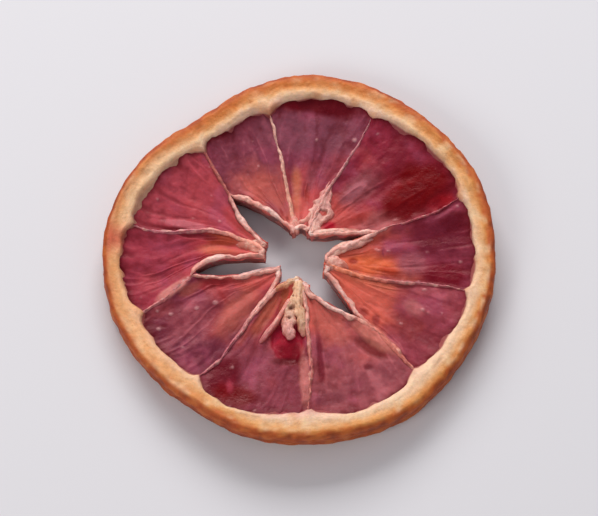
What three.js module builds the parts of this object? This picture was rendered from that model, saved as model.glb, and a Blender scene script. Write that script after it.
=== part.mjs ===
// A dried blood orange slice: one whole round cut across the fruit and dried until it is leathery.
// A raised ring of peel and pith holds ten segments of sunken pulp, with a thin wall between each two.
// In drying, the pulp drew back from the core, and some walls split there, so the hole is a star.
// It lies flat, the way it came off the rack: +Z is up, and the origin is on the ground under its middle.
// Sizes are millimetres, and angles are degrees, anticlockwise from +X, seen from above.
import * as THREE from "three";
import { ParametricGeometry } from "three/addons/geometries/ParametricGeometry.js";
import { mergeGeometries, mergeVertices } from "three/addons/utils/BufferGeometryUtils.js";

const SLICE_RADIUS = 31.4;
const RIND_HEIGHT = 5.0;
const RIND_WIDTH = 4.0;
const WALL_HEIGHT = 3.2;
const WALL_HALF_WIDTH = 0.45;
const PULP_HEIGHT = 2.4;
const PULP_SAG = 0.35;

// How the round dried out of true: how high its mid-plane lies at the middle, how far its edge cups up,
// and the saddle and the three-way curl that are added to the cup.
const MIDDLE_HEIGHT = 2.4;
const CUP = 0.9;
const SADDLE = { count: 2, size: 0.25, at: 118 };
const CURL = { count: 3, size: 0.95, at: 20 };

// Where the outline is flatter than a circle, and the ripples in the outline, the rind and the rim
const FLATS = [
  { at: 127, half: 47, depth: 2.9 },
  { at: 227, half: 32, depth: 1.25 },
];
const OUTLINE_RIPPLES = [
  { count: 5, size: 0.16, at: 10 },
  { count: 9, size: 0.12, at: 25 },
];
const RIND_WIDTH_RIPPLES = [
  { count: 2, size: 0.45, at: 100 },
  { count: 7, size: 0.2, at: 12 },
];
const RIM_RIPPLE = { count: 6, size: 0.12, at: 40 };
const PITH_SCALLOP = 0.7;
const PLEATS = { count: 2.5, height: 0.13, twist: 0.8, start: 0.37 };
const PULP_LIP = 0.25;

// The walls between segments, in order. rim is the angle where a wall meets the pith; core and reach are the
// angle and distance where it begins; bend and sway curve it between the two. A split wall has parted from
// the hole out to its reach: before and after are the corners [angle, distance] where its two sides meet the
// hole, belly is how far each side bows away, and blunt above 1 puts most of the bow near the split's end.
// lift and notch belong to the segment after the wall: how far its tip curls up and how far it is notched.
const WALLS = [
  {
    rim: 20.2, core: 18.2, reach: 11.7, bend: -1.1, sway: 0.4, lift: 0.5, notch: 0,
    split: { before: [2, 4.2], after: [56, 3.7], belly: [-0.1, 0.1], blunt: 1 },
  },
  { rim: 63.6, core: 70, reach: 3.7, bend: -1.2, sway: 0.8, lift: 0.5, notch: 0.9 },
  { rim: 101, core: 98, reach: 3.7, bend: 0.2, sway: 0, lift: 0.5, notch: 0 },
  {
    rim: 130.8, core: 137.5, reach: 14.4, bend: -0.6, sway: 0, lift: 0.9, notch: 0,
    split: { before: [107, 3.7], after: [158, 5.3], belly: [1.25, 0.85], blunt: 0.8 },
  },
  { rim: 169, core: 169, reach: 5.3, bend: -4.5, sway: -4, lift: 0.9, notch: 0 },
  {
    rim: 200.8, core: 189.5, reach: 16.8, bend: 2.9, sway: 0, lift: -0.3, notch: 0,
    split: { before: [190, 5.4], after: [205, 3.2], belly: [1.65, 1.25], blunt: 1.3 },
  },
  {
    rim: 232.2, core: 235, reach: 5.8, bend: 0.6, sway: -1.1, lift: 0.3, notch: 0,
    split: { before: [225, 3.9], after: [252, 4.1], belly: [0, 0], blunt: 1 },
  },
  { rim: 273.5, core: 276, reach: 4.1, bend: 1.8, sway: 0.6, lift: 0.3, notch: 0 },
  {
    rim: 313.2, core: 311.5, reach: 13.3, bend: 2.2, sway: 0.4, lift: 0.6, notch: 0,
    split: { before: [290, 5.3], after: [319, 5], belly: [1.35, 0.5], blunt: 0.5 },
  },
  { rim: 347, core: 340.5, reach: 4.2, bend: 0.2, sway: -1.4, lift: 0.6, notch: 0 },
];

// Single features of the upper face: two shreds of core pith that stand up, and a seed pocket that is sunk
const SHREDS_AND_POCKET = [
  { x: 3.4, y: 8.6, long: 4.2, wide: 1.3, turn: 66, rise: 0.55 },
  { x: -0.7, y: -8.6, long: 4.6, wide: 1.1, turn: 86, rise: 0.6 },
  { x: -1.7, y: -14.2, long: 2.6, wide: 2.2, turn: 90, rise: -0.75 },
];

// The rind in section: [share of its width from the pulp outwards, share of its half height]
const RIND_SECTION = [
  [0.07, 0.8],
  [0.22, 0.97],
  [0.55, 1.0],
  [0.84, 0.93],
  [0.97, 0.62],
  [1.0, 0.0],
];

// The net of points over each segment: strips across it, and rows from the hole out to the rind's edge.
// One row runs through the ends of all the splits, and is at this distance where there is no split.
const STRIPS = 12;
const INNER_ROWS = 5;
const OUTER_ROWS = 6;
const PULP_ROWS = INNER_ROWS + OUTER_ROWS;
const ROWS = PULP_ROWS + RIND_SECTION.length;
const WHOLE_WALL_MIDDLE = 13;
const WALL_MAX_SHARE = 0.2;

const TOP = 1;
const UNDERSIDE = -1;
const RIGHT_SIDE = 1;
const LEFT_SIDE = -1;
const FULL_TURN = 360;
const { clamp, degToRad, euclideanModulo, lerp, radToDeg } = THREE.MathUtils;

function ripple(angle, { count, size, at }) {
  return size * Math.cos(degToRad(count * (angle - at)));
}

// 1 at no distance, falling smoothly to 0 at one half width away
function hump(distance, half) {
  return Math.abs(distance) < half ? Math.cos((Math.PI / 2) * (distance / half)) ** 2 : 0;
}

function outlineDistance(angle) {
  let distance = SLICE_RADIUS;
  for (const wave of OUTLINE_RIPPLES) distance += ripple(angle, wave);
  for (const { at, half, depth } of FLATS) {
    const away = euclideanModulo(angle - at + FULL_TURN / 2, FULL_TURN) - FULL_TURN / 2;
    distance -= depth * hump(away, half);
  }
  return distance;
}

// Where the pith begins. It is wider where a wall joins it, so its inner edge is scalloped; across is the
// share of the way over a segment, 0 and 1 at the walls.
function pithDistance(angle, across) {
  let width = RIND_WIDTH + PITH_SCALLOP * Math.abs(2 * across - 1) ** 5;
  for (const wave of RIND_WIDTH_RIPPLES) width += ripple(angle, wave);
  return outlineDistance(angle) - width;
}

function midPlaneHeight(x, y) {
  const out = Math.hypot(x, y) / SLICE_RADIUS;
  const angle = radToDeg(Math.atan2(y, x));
  return MIDDLE_HEIGHT + out ** 2 * (CUP + ripple(angle, SADDLE) + out * ripple(angle, CURL));
}

function featureRise(x, y) {
  let total = 0;
  for (const { x: midX, y: midY, long, wide, turn, rise } of SHREDS_AND_POCKET) {
    const away = new THREE.Vector2(x - midX, y - midY).rotateAround(new THREE.Vector2(), -degToRad(turn));
    total += rise * hump(away.x, long) * hump(away.y, wide);
  }
  return total;
}

// A point along one side of a split, from its corner at the hole to its end, as [angle, distance]
function splitPoint({ core, reach, split }, side, share) {
  const [corner, end] = [side === LEFT_SIDE ? split.before : split.after, [core, reach]].map(
    ([angle, distance]) => new THREE.Vector2(distance, 0).rotateAround(new THREE.Vector2(), degToRad(angle)),
  );
  const along = end.clone().sub(corner).normalize();
  const away = new THREE.Vector2(-along.y, along.x).multiplyScalar(side);
  const bow = Math.max(0, Math.sin(Math.PI * share ** split.blunt)) ** 0.6;
  const belly = side === LEFT_SIDE ? split.belly[0] : split.belly[1];
  const point = corner.lerp(end, share).addScaledVector(away, belly * bow);
  const angle = radToDeg(Math.atan2(point.y, point.x));
  const turns = Math.round((core - angle) / FULL_TURN);
  return [angle + turns * FULL_TURN, point.length()];
}

// A point where a segment meets one of its walls, row by row outwards, as [angle, distance]. The segment's
// side tells which lip of a split it is on.
function wallPoint(wall, side, row) {
  if (wall.split && row < INNER_ROWS) return splitPoint(wall, side, row / INNER_ROWS);
  const middle = wall.split ? wall.reach : WHOLE_WALL_MIDDLE;
  const pith = pithDistance(wall.rim, 0);
  const distance =
    row < INNER_ROWS
      ? lerp(wall.reach, middle, row / INNER_ROWS)
      : lerp(middle, pith, (row - INNER_ROWS) / OUTER_ROWS);
  const out = (distance - wall.reach) / (pith - wall.reach);
  const curve = wall.bend * Math.sin(Math.PI * out) + wall.sway * Math.sin(2 * Math.PI * out);
  return [lerp(wall.core, wall.rim, out) + curve, distance];
}

// One segment with the stretch of rind outside it, from the wall on its right to the one on its left
class Segment {
  constructor(index) {
    this.index = index;
    this.right = WALLS[index];
    this.left = WALLS[(index + 1) % WALLS.length];
    this.leftTurn = index + 1 === WALLS.length ? FULL_TURN : 0;
  }

  // The outermost strips are as wide as half a wall, and the others share what is left.
  across(strip, width) {
    const wallShare = Math.min(WALL_HALF_WIDTH / width, WALL_MAX_SHARE);
    if (strip <= 1) return wallShare * strip;
    if (strip >= STRIPS - 1) return 1 - wallShare * (STRIPS - strip);
    return lerp(wallShare, 1 - wallShare, (strip - 1) / (STRIPS - 2));
  }

  // Half the thickness inside the rind. The pulp has sagged and pleated between its walls.
  halfHeight(strip, across, row, face) {
    const out = row / PULP_ROWS;
    const pleat = PLEATS.count * across + PLEATS.start * this.index + PLEATS.twist * out * face;
    const sag = PULP_SAG * Math.sin(Math.PI * across) * Math.sin(Math.PI * out);
    const lip = PULP_LIP * clamp(1 - row, 0, 1);
    const pulp = PULP_HEIGHT / 2 - sag + lip + PLEATS.height * Math.sin(2 * Math.PI * pleat);
    const onWall = clamp(1 - Math.min(strip, STRIPS - strip), 0, 1);
    return lerp(pulp, WALL_HEIGHT / 2, onWall);
  }

  // Share of the rind's width and half height, so many rows out from the pulp
  rind(rows, startHeight) {
    const section = [[0, startHeight], ...RIND_SECTION];
    const from = Math.min(Math.floor(rows), section.length - 2);
    return [0, 1].map((i) => lerp(section[from][i], section[from + 1][i], rows - from));
  }

  point(strip, row, face, target) {
    const pulpRow = Math.min(row, PULP_ROWS);
    const [rightAngle, rightDistance] = wallPoint(this.right, RIGHT_SIDE, pulpRow);
    const [leftAngle, leftDistance] = wallPoint(this.left, LEFT_SIDE, pulpRow);
    const span = leftAngle + this.leftTurn - rightAngle;
    const across = this.across(strip, degToRad(span) * lerp(rightDistance, leftDistance, 0.5));
    const angle = rightAngle + span * across;
    const pith = pithDistance(angle, across);
    const straightPith = lerp(pithDistance(this.right.rim, 0), pithDistance(this.left.rim, 1), across);
    const nearHole = clamp(1 - pulpRow / INNER_ROWS, 0, 1);
    const nearPith = clamp((pulpRow - INNER_ROWS) / OUTER_ROWS, 0, 1);
    const notch = this.right.notch * Math.sin(Math.PI * across) * nearHole;
    let distance = lerp(rightDistance, leftDistance, across) + (pith - straightPith) * nearPith + notch;
    let half = this.halfHeight(strip, across, pulpRow, face);
    if (row > PULP_ROWS) {
      const [width, height] = this.rind(row - PULP_ROWS, half / (RIND_HEIGHT / 2));
      distance = lerp(pith, outlineDistance(angle), width);
      half = (RIND_HEIGHT / 2 + face * ripple(angle, RIM_RIPPLE)) * height;
    }
    const x = distance * Math.cos(degToRad(angle));
    const y = distance * Math.sin(degToRad(angle));
    const feature = face === TOP && row <= PULP_ROWS ? featureRise(x, y) : 0;
    const z = midPlaneHeight(x, y) + this.right.lift * nearHole ** 2 + face * half + feature;
    return target.set(x, y, Math.max(z, 0));
  }

  // The two cut faces, the tip at the hole, and a side along each split
  sheets() {
    const [above, below] = [new THREE.Vector3(), new THREE.Vector3()];
    const edge = (strip, row, down, target) => {
      this.point(strip, row, TOP, above);
      this.point(strip, row, UNDERSIDE, below);
      target.lerpVectors(above, below, down);
    };
    const upper = (u, v, target) => this.point((1 - u) * STRIPS, v * ROWS, TOP, target);
    const under = (u, v, target) => this.point(u * STRIPS, v * ROWS, UNDERSIDE, target);
    const tip = (u, v, target) => edge(u * STRIPS, 0, v, target);
    const rightLip = (u, v, target) => edge(0, (1 - u) * INNER_ROWS, v, target);
    const leftLip = (u, v, target) => edge(STRIPS, u * INNER_ROWS, v, target);
    const made = [
      new ParametricGeometry(upper, STRIPS, ROWS),
      new ParametricGeometry(under, STRIPS, ROWS),
      new ParametricGeometry(tip, STRIPS, 1),
    ];
    if (this.right.split) made.push(new ParametricGeometry(rightLip, INNER_ROWS, 1));
    if (this.left.split) made.push(new ParametricGeometry(leftLip, INNER_ROWS, 1));
    return made;
  }
}

// The sheets meet along their edges, so merging their shared points closes them into one solid.
function sliceGeometry() {
  const joined = mergeGeometries(WALLS.flatMap((_, index) => new Segment(index).sheets()));
  joined.deleteAttribute("normal");
  joined.deleteAttribute("uv");
  const solid = mergeVertices(joined);
  solid.computeBoundingBox();
  const { min, max } = solid.boundingBox;
  solid.translate(-(min.x + max.x) / 2, -(min.y + max.y) / 2, -min.z);
  solid.computeVertexNormals();
  return solid;
}

const driedFruit = new THREE.MeshStandardMaterial({ color: "#91414b", roughness: 0.5, metalness: 0 });
const slice = new THREE.Mesh(sliceGeometry(), driedFruit);
slice.name = "dried_slice";

const group = new THREE.Group();
group.add(slice);

export default group;
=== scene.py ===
# A dried blood orange slice lies on a pale floor with its shown face up, seen steeply from above.
import math
from collections import namedtuple

import bpy
import numpy as np
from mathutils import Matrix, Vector, noise


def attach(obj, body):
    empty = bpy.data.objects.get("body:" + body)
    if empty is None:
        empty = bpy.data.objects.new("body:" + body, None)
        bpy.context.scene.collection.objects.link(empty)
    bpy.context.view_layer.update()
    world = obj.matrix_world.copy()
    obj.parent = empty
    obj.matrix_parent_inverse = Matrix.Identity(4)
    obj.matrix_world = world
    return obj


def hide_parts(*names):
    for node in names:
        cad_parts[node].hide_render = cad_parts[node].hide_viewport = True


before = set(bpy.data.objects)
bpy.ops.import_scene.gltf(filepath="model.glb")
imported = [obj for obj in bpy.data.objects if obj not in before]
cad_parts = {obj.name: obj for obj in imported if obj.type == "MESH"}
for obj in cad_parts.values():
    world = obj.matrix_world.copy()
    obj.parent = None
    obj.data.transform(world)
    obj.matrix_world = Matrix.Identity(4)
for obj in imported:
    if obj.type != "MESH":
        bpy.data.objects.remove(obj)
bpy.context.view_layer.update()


# The studio. A pale seamless floor, a long soft box low behind the slice, whose light skims over the pulp
# and leaves the hole in shade, a smaller one in front on the left, and an even pale surround. The camera
# looks down at the slice as steeply as the photograph does.
CAMERA_ELEVATION = math.radians(70)
CAMERA_DISTANCE = 0.56
CAMERA_LENS = 210
LOOK_AT = Vector((0, 0, 0.003))
FLOOR_SIZE = 6
# A hair below the slice's underside, so that the two don't share a plane
FLOOR_LEVEL = -0.00005
SURROUND_STRENGTH = 0.37


def linear(hex_colour):
    """The linear colour of an sRGB hex value."""
    channels = [int(hex_colour[i : i + 2], 16) / 255 for i in (1, 3, 5)]
    return [c / 12.92 if c <= 0.04045 else ((c + 0.055) / 1.055) ** 2.4 for c in channels]


def add_node(material, kind, settings=None, links=None):
    """A new node, with its settings and input values by name or number, and its links by input."""
    node = material.node_tree.nodes.new(kind)
    for name, value in (settings or {}).items():
        if isinstance(name, int) or name in node.inputs:
            node.inputs[name].default_value = value
        else:
            setattr(node, name, value)
    for name, source in (links or {}).items():
        material.node_tree.links.new(source, node.inputs[name])
    return node


def new_material(name):
    material = bpy.data.materials.new(name)
    material.use_nodes = True
    material.node_tree.nodes.clear()
    return material


def soft_box(name, location, width, depth, power, colour):
    turn = (LOOK_AT - Vector(location)).to_track_quat("-Z", "Y").to_euler()
    bpy.ops.object.light_add(type="AREA", location=location, rotation=turn)
    light = bpy.context.object
    light.name = name
    light.data.shape = "RECTANGLE"
    light.data.size = width
    light.data.size_y = depth
    light.data.energy = power
    light.data.color = linear(colour)


bpy.ops.object.select_all(action="DESELECT")
bpy.ops.mesh.primitive_plane_add(size=FLOOR_SIZE, location=(0, 0, FLOOR_LEVEL))
floor = bpy.context.object
floor.name = "floor"

paper = new_material("pale seamless paper")
paper_shader = add_node(
    paper,
    "ShaderNodeBsdfPrincipled",
    {"Base Color": (*linear("#e4e3e8"), 1), "Roughness": 0.9, "Specular IOR Level": 0.2},
)
add_node(paper, "ShaderNodeOutputMaterial", links={"Surface": paper_shader.outputs["BSDF"]})
floor.data.materials.append(paper)

soft_box("soft box behind", (-0.06, 0.6, 0.42), 0.6, 0.35, 5.2, "#fffdfb")
soft_box("soft box in front", (-0.45, -0.4, 0.5), 0.35, 0.35, 1.5, "#fff8f2")

surround = bpy.data.worlds.new("pale surround")
surround.use_nodes = True
surround.node_tree.nodes["Background"].inputs["Color"].default_value = (*linear("#f4f4f8"), 1)
surround.node_tree.nodes["Background"].inputs["Strength"].default_value = SURROUND_STRENGTH
bpy.context.scene.world = surround
bpy.context.scene.view_settings.view_transform = "Standard"

backwards = Vector((0, -math.cos(CAMERA_ELEVATION), math.sin(CAMERA_ELEVATION)))
bpy.ops.object.camera_add(
    location=LOOK_AT + CAMERA_DISTANCE * backwards,
    rotation=(math.pi / 2 - CAMERA_ELEVATION, 0, 0),
)
camera = bpy.context.object
camera.data.lens = CAMERA_LENS
camera.data.clip_start = 0.01
bpy.context.scene.camera = camera


# The lie of the whole slice, which every piece below follows. It was cut across the fruit as a flat round,
# and in drying its edge cupped up and curled in three places, and its pulp parted along some of the walls.
# Sizes are millimetres from the core and angles are degrees, anticlockwise from +X, as in the CAD solid.
SLICE_RADIUS = 31.4
RIND_WIDTH = 3.7
MIDDLE_HEIGHT = 2.4
CUP = 0.9
# Waves round the outline, round the pith's inner edge and in the height of the whole: how many go round, how
# large they are, and the angle of a crest
OUTLINE_WAVES = ((5, 0.16, 10), (9, 0.12, 25))
PITH_WAVES = ((2, 0.5, 100), (7, 0.2, 12))
TWIST = (2, 0.25, 118)
CURL = (3, 0.95, 20)
# Flatter stretches of the outline: the angle of the middle, the half width and the depth
FLATS = ((127, 47, 2.9), (227, 32, 1.25))
# Stretches where the ring's inner edge is further in: the angle of the middle, the half width, how much
WIDENINGS = (
    (97, 18, 0.4), (148, 16, 0.45), (174, 20, -0.5), (203, 14, 0.3), (245, 23, -0.9), (288, 20, -0.6),
)
# How much further in the pith comes where a wall joins it
WALL_JOIN = 0.7
# The share of a segment's length, from the hole, that lies along a split, and where it ends on a whole wall
INNER_SHARE = 5 / 11
WHOLE_WALL_MIDDLE = 13
# How far the walls wander, and how far the lips of a split are frayed
WANDER = 0.3
FRAYING = 0.16
# The side of its segment that a wall is on, seen from the core
RIGHT_SIDE = 1
LEFT_SIDE = -1

# rim is the angle where a wall meets the pith, and core and reach are the angle and distance where it begins.
# bend and sway curve it between the two. A split wall has parted from the hole out to its reach: before and
# after are the corners where its two sides meet the hole, belly is how far each side bows away, and blunt
# above 1 puts most of the bow near the split's end. lift and notch belong to the segment after the wall: how
# far its tip curls up and how far it is notched.
Split = namedtuple("Split", "before after belly blunt")
Wall = namedtuple("Wall", "rim core reach bend sway lift notch split", defaults=(0, None))
WALLS = (
    Wall(20.2, 18.2, 11.7, -1.1, 0.4, 0.5, 0, Split((2, 4.2), (56, 3.7), (-0.3, 0.1), 1)),
    Wall(63.6, 70, 3.7, -1.2, 0.8, 0.5, 0.9),
    Wall(101, 98, 3.7, 0.2, 0, 0.5),
    Wall(130.8, 137.5, 14.4, -0.6, 0, 0.9, 0, Split((107, 3.7), (158, 5.3), (1.0, 0.6), 0.8)),
    Wall(169, 169, 5.3, -4.5, -4, 0.9),
    Wall(200.8, 189.5, 16.8, 2.9, 0, -0.3, 0, Split((190, 5.4), (205, 3.2), (1.4, 1.0), 1.3)),
    Wall(232.2, 235, 5.8, 0.6, -1.1, 0.3, 0, Split((225, 3.9), (252, 4.1), (0, 0), 1)),
    Wall(273.5, 276, 4.1, 1.8, 0.6, 0.3),
    Wall(313.2, 311.5, 13.3, 2.2, 0.4, 0.6, 0, Split((290, 5.3), (319, 5), (0.9, 0.35), 0.5)),
    Wall(347, 340.5, 4.2, 0.2, -1.4, 0.6),
)
SEGMENTS = len(WALLS)


def lerp(a, b, share):
    return a + (b - a) * share


def smooth(value, low, high):
    """0 below low, 1 above high, and a smooth rise between them."""
    share = np.clip((value - low) / (high - low), 0, 1)
    return share * share * (3 - 2 * share)


def ripple(angle, count, size, at):
    """A wave round the slice, with a crest at an angle."""
    return size * np.cos(np.radians(count * (angle - at)))


def hump(distance, half):
    """1 in the middle, and 0 from half away."""
    return np.where(np.abs(distance) < half, np.cos(np.pi / 2 * distance / half) ** 2, 0)


def sampled(kind, x, y, z, *settings):
    """A noise function's value at each point."""
    x, y, z = np.broadcast_arrays(x, y, z)
    points = zip(x.ravel().tolist(), y.ravel().tolist(), z.ravel().tolist())
    return np.array([kind(point, *settings) for point in points])


def outline_distance(angle):
    distance = SLICE_RADIUS
    for wave in OUTLINE_WAVES:
        distance = distance + ripple(angle, *wave)
    for at, half, depth in FLATS:
        distance = distance - depth * hump((angle - at + 180) % 360 - 180, half)
    return distance


def pith_distance(angle, across):
    """Where the pith begins, a little further in where a wall joins it."""
    width = RIND_WIDTH + WALL_JOIN * np.abs(2 * across - 1) ** 5
    for at, half, more in WIDENINGS:
        width = width + more * hump(angle % 360 - at, half)
    distance = outline_distance(angle) - width
    for wave in PITH_WAVES:
        distance = distance - ripple(angle, *wave)
    return distance


def mid_plane(x, y):
    out = np.hypot(x, y) / SLICE_RADIUS
    angle = np.degrees(np.arctan2(y, x))
    edge = CUP + ripple(angle, *TWIST) + out * ripple(angle, *CURL)
    return MIDDLE_HEIGHT + out**2 * edge


def split_side(wall, side, share):
    """Angle and distance along one lip of a split, from its corner at the hole to its end."""
    corner_angle, corner_distance = wall.split.before if side == LEFT_SIDE else wall.split.after
    corner = corner_distance * np.exp(1j * np.radians(corner_angle))
    end = wall.reach * np.exp(1j * np.radians(wall.core))
    away = side * 1j * (end - corner) / abs(end - corner)
    belly = wall.split.belly[0 if side == LEFT_SIDE else 1]
    bow = np.clip(np.sin(np.pi * share**wall.split.blunt), 0, 1) ** 0.6
    frayed = FRAYING * sampled(noise.noise, 6 * share, wall.rim, 3 * side) * smooth(share, 0, 0.1)
    point = lerp(corner, end, share) + away * (belly * bow + frayed * (1 - smooth(share, 0.9, 1)))
    angle = np.degrees(np.angle(point))
    return angle + 360 * np.round((wall.core - angle) / 360), np.abs(point)


def wall_side(wall, side, out):
    """Angle and distance where a segment meets a wall, for out from 0 at the hole to 1 at the pith."""
    middle = wall.reach if wall.split else WHOLE_WALL_MIDDLE
    pith = pith_distance(wall.rim, 0)
    inner = np.clip(out / INNER_SHARE, 0, 1)
    outer = (out - INNER_SHARE) / (1 - INNER_SHARE)
    distance = np.where(out < INNER_SHARE, lerp(wall.reach, middle, inner), lerp(middle, pith, outer))
    along = (distance - wall.reach) / (pith - wall.reach)
    curve = wall.bend * np.sin(np.pi * along) + wall.sway * np.sin(2 * np.pi * along)
    wander = WANDER * sampled(noise.noise, 0.33 * distance, wall.rim, 0) * smooth(along, 0, 0.15)
    angle = lerp(wall.core, wall.rim, along) + curve + np.degrees(wander / distance)
    if wall.split:
        split_angle, split_distance = split_side(wall, side, inner)
        angle = np.where(out < INNER_SHARE, split_angle, angle)
        distance = np.where(out < INNER_SHARE, split_distance, distance)
    return angle, distance


def in_segment(index, across, out):
    """x, y, mid-plane height, angle and width of a segment, at a share across it and out along it."""
    right = WALLS[index]
    left = WALLS[(index + 1) % SEGMENTS]
    right_angle, right_distance = wall_side(right, RIGHT_SIDE, out)
    left_angle, left_distance = wall_side(left, LEFT_SIDE, out)
    left_angle = left_angle + (360 if index == SEGMENTS - 1 else 0)
    angle = lerp(right_angle, left_angle, across)
    near_hole = np.clip(1 - out / INNER_SHARE, 0, 1)
    near_pith = np.clip((out - INNER_SHARE) / (1 - INNER_SHARE), 0, 1)
    straight = lerp(pith_distance(right.rim, 0), pith_distance(left.rim, 1), across)
    distance = lerp(right_distance, left_distance, across)
    distance = distance + (pith_distance(angle, across) - straight) * near_pith
    distance = distance + right.notch * np.sin(np.pi * across) * near_hole
    x = distance * np.cos(np.radians(angle))
    y = distance * np.sin(np.radians(angle))
    width = np.radians(left_angle - right_angle) * distance
    return x, y, mid_plane(x, y) + right.lift * near_hole**2, angle, width


# The core isn't in the exact middle of the outline, and the frame's origin is.
all_round = np.linspace(0, 360, 721)
outline_x = outline_distance(all_round) * np.cos(np.radians(all_round))
outline_y = outline_distance(all_round) * np.sin(np.radians(all_round))
CORE_X = -(outline_x.min() + outline_x.max()) / 2
CORE_Y = -(outline_y.min() + outline_y.max()) / 2


# The rind: a raised ring of spongy cream pith inside a thin orange peel, what is left of the fruit's skin. It
# dried stiff while the pulp sank, so it stands proud of the pulp on both faces. In the noises here and below,
# a place's factor is one over a lump's size in millimetres, and the noise's own factor is its height.
RIND_HALF_HEIGHT = 2.45
SECTION_ROUNDING = 0.42
RIND_STEPS = 960
RIND_SECTION_STEPS = 96
SECTION_POINTS = 2001
# The ring's edges: a spike of pith on each wall, small nicks and broad bays inside, and slow waves outside
SPIKE = 0.7
NICK = 0.16
BAY = 0.4
OUTER_WAVE = 0.12
# How far the ring reaches in under the pulp
FOOT = 0.9
# Colour by depth in from the peel's surface
RIND_TONES = (
    (0.0, "#b04a18"),
    (0.6, "#c25f24"),
    (1.2, "#d48846"),
    (1.9, "#e4a66c"),
    (2.6, "#ecbc92"),
    (3.3, "#f2c8aa"),
    (4.1, "#efbeaa"),
    (4.8, "#d4968c"),
)


def rounded(value):
    return np.sign(value) * np.abs(value) ** SECTION_ROUNDING


def cells(x, y, z):
    """Distance to the nearest cell's middle, and how much further the second nearest is."""
    points = zip(np.ravel(x).tolist(), np.ravel(y).tolist(), np.ravel(z).tolist())
    near = np.array([noise.voronoi(point)[0][:2] for point in points])
    return near[:, 0], near[:, 1] - near[:, 0]


def put_vertices(piece, x, y, z):
    """Moves a piece's vertices to places in millimetres from the core, none of them under the floor."""
    places = np.stack([x + CORE_X, y + CORE_Y, np.maximum(z, 0)], axis=1) / 1000
    piece.data.vertices.foreach_set("co", places.astype(np.float32).ravel())
    piece.data.update()
    piece.data.shade_smooth()


def vertex_places(piece):
    """Each vertex's place, one to a row."""
    places = np.empty(len(piece.data.vertices) * 3, np.float32)
    piece.data.vertices.foreach_get("co", places)
    return places.reshape(-1, 3).astype(float)


def paint(piece, name, values):
    """Stores a number or a colour for each vertex, for the material to read."""
    values = np.asarray(values, np.float32)
    if values.ndim == 1:
        piece.data.attributes.new(name, "FLOAT", "POINT").data.foreach_set("value", values)
        return
    colours = np.ones((len(values), 4), np.float32)
    colours[:, :3] = values
    piece.data.attributes.new(name, "FLOAT_COLOR", "POINT").data.foreach_set("color", colours.ravel())


def ramp(value, stops):
    """Linear colours looked up between stops of a value and an sRGB hex colour."""
    marks = [mark for mark, _ in stops]
    colours = np.array([linear(colour) for _, colour in stops])
    return np.stack([np.interp(value, marks, channel) for channel in colours.T], axis=1)


def stained(tone, colour, share):
    """A tone with a share of an sRGB hex colour laid over it at each vertex."""
    return lerp(tone, np.array(linear(colour)), np.asarray(share)[:, None])


# A torus gives the ring its faces, and the ways round and across it. Each vertex then gets its place.
bpy.ops.object.select_all(action="DESELECT")
bpy.ops.mesh.primitive_torus_add(
    major_segments=RIND_STEPS, minor_segments=RIND_SECTION_STEPS, major_radius=1, minor_radius=0.25
)
rind = bpy.context.object
rind.name = "rind"
places = vertex_places(rind)
angle = np.degrees(np.arctan2(places[:, 1], places[:, 0])) % 360
turn = np.arctan2(places[:, 2], np.hypot(places[:, 0], places[:, 1]) - 1) % (2 * np.pi)

# The section is a flat-topped band with rounded corners, walked round in even steps.
once_round = np.linspace(0, 2 * np.pi, SECTION_POINTS)
section = RIND_WIDTH / 2 * rounded(np.cos(once_round)) + 1j * RIND_HALF_HEIGHT * rounded(np.sin(once_round))
length = np.concatenate([[0], np.cumsum(np.abs(np.diff(section)))])
even = turn / (2 * np.pi) * length[-1]
from_inside = (np.interp(even, length, section.real) / (RIND_WIDTH / 2) + 1) / 2
upward = np.interp(even, length, section.imag) / RIND_HALF_HEIGHT
face = np.sign(upward)

# Each vertex's share of the way from one wall to the next
rims = np.array([wall.rim for wall in WALLS])
rim_count = np.interp(
    angle, [rims[-1] - 360, *rims, rims[0] + 360], [-1, *range(SEGMENTS), SEGMENTS]
)
across = rim_count % 1
spread = np.radians(angle)
ring_x = SLICE_RADIUS * np.cos(spread)
ring_y = SLICE_RADIUS * np.sin(spread)
nicks = sampled(noise.noise, ring_x * 1.3, ring_y * 1.3, upward * 0.7)
bays = sampled(noise.noise, ring_x * 0.35, ring_y * 0.35, 7 + upward * 0.5)
spikes = np.exp(-np.minimum(across, 1 - across) * 26)
inner = pith_distance(angle, across) - SPIKE * spikes - NICK * nicks - BAY * bays
outer = outline_distance(angle) + OUTER_WAVE * sampled(noise.noise, ring_x * 0.25, ring_y * 0.25, 3)
# At the pulp's level the ring reaches further in, so that the pulp grows out of it.
foot = FOOT * (1 - smooth(np.abs(upward), 0.3, 0.7)) * smooth(0.5 - from_inside, 0.1, 0.5)
distance = lerp(inner - foot, outer, from_inside)
x = distance * np.cos(spread)
y = distance * np.sin(spread)
depth = outer - distance
on_top = smooth(np.abs(upward), 0.75, 0.95)
# The pith has broad lumps, a fine sponge, pits in its lumps, fibres across it and chalky patches.
lumps = sampled(noise.fractal, x * 0.3, y * 0.3, 5 * face, 1.0, 2.0, 2)
sponge = sampled(noise.fractal, x * 1.1, y * 1.1, 9 + upward * 2.2, 0.8, 2.0, 4)
hole, _ = cells(x * 0.8, y * 0.8, 6 * face)
pits = (1 - smooth(hole, 0.1, 0.4)) * smooth(lumps, 0, 0.3)
fibres = sampled(noise.noise, angle * 0.7, depth * 0.6, 11 * face)
chalk = sampled(noise.fractal, x * 0.42, y * 0.42, 23 + upward, 1.0, 2.0, 3)
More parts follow.
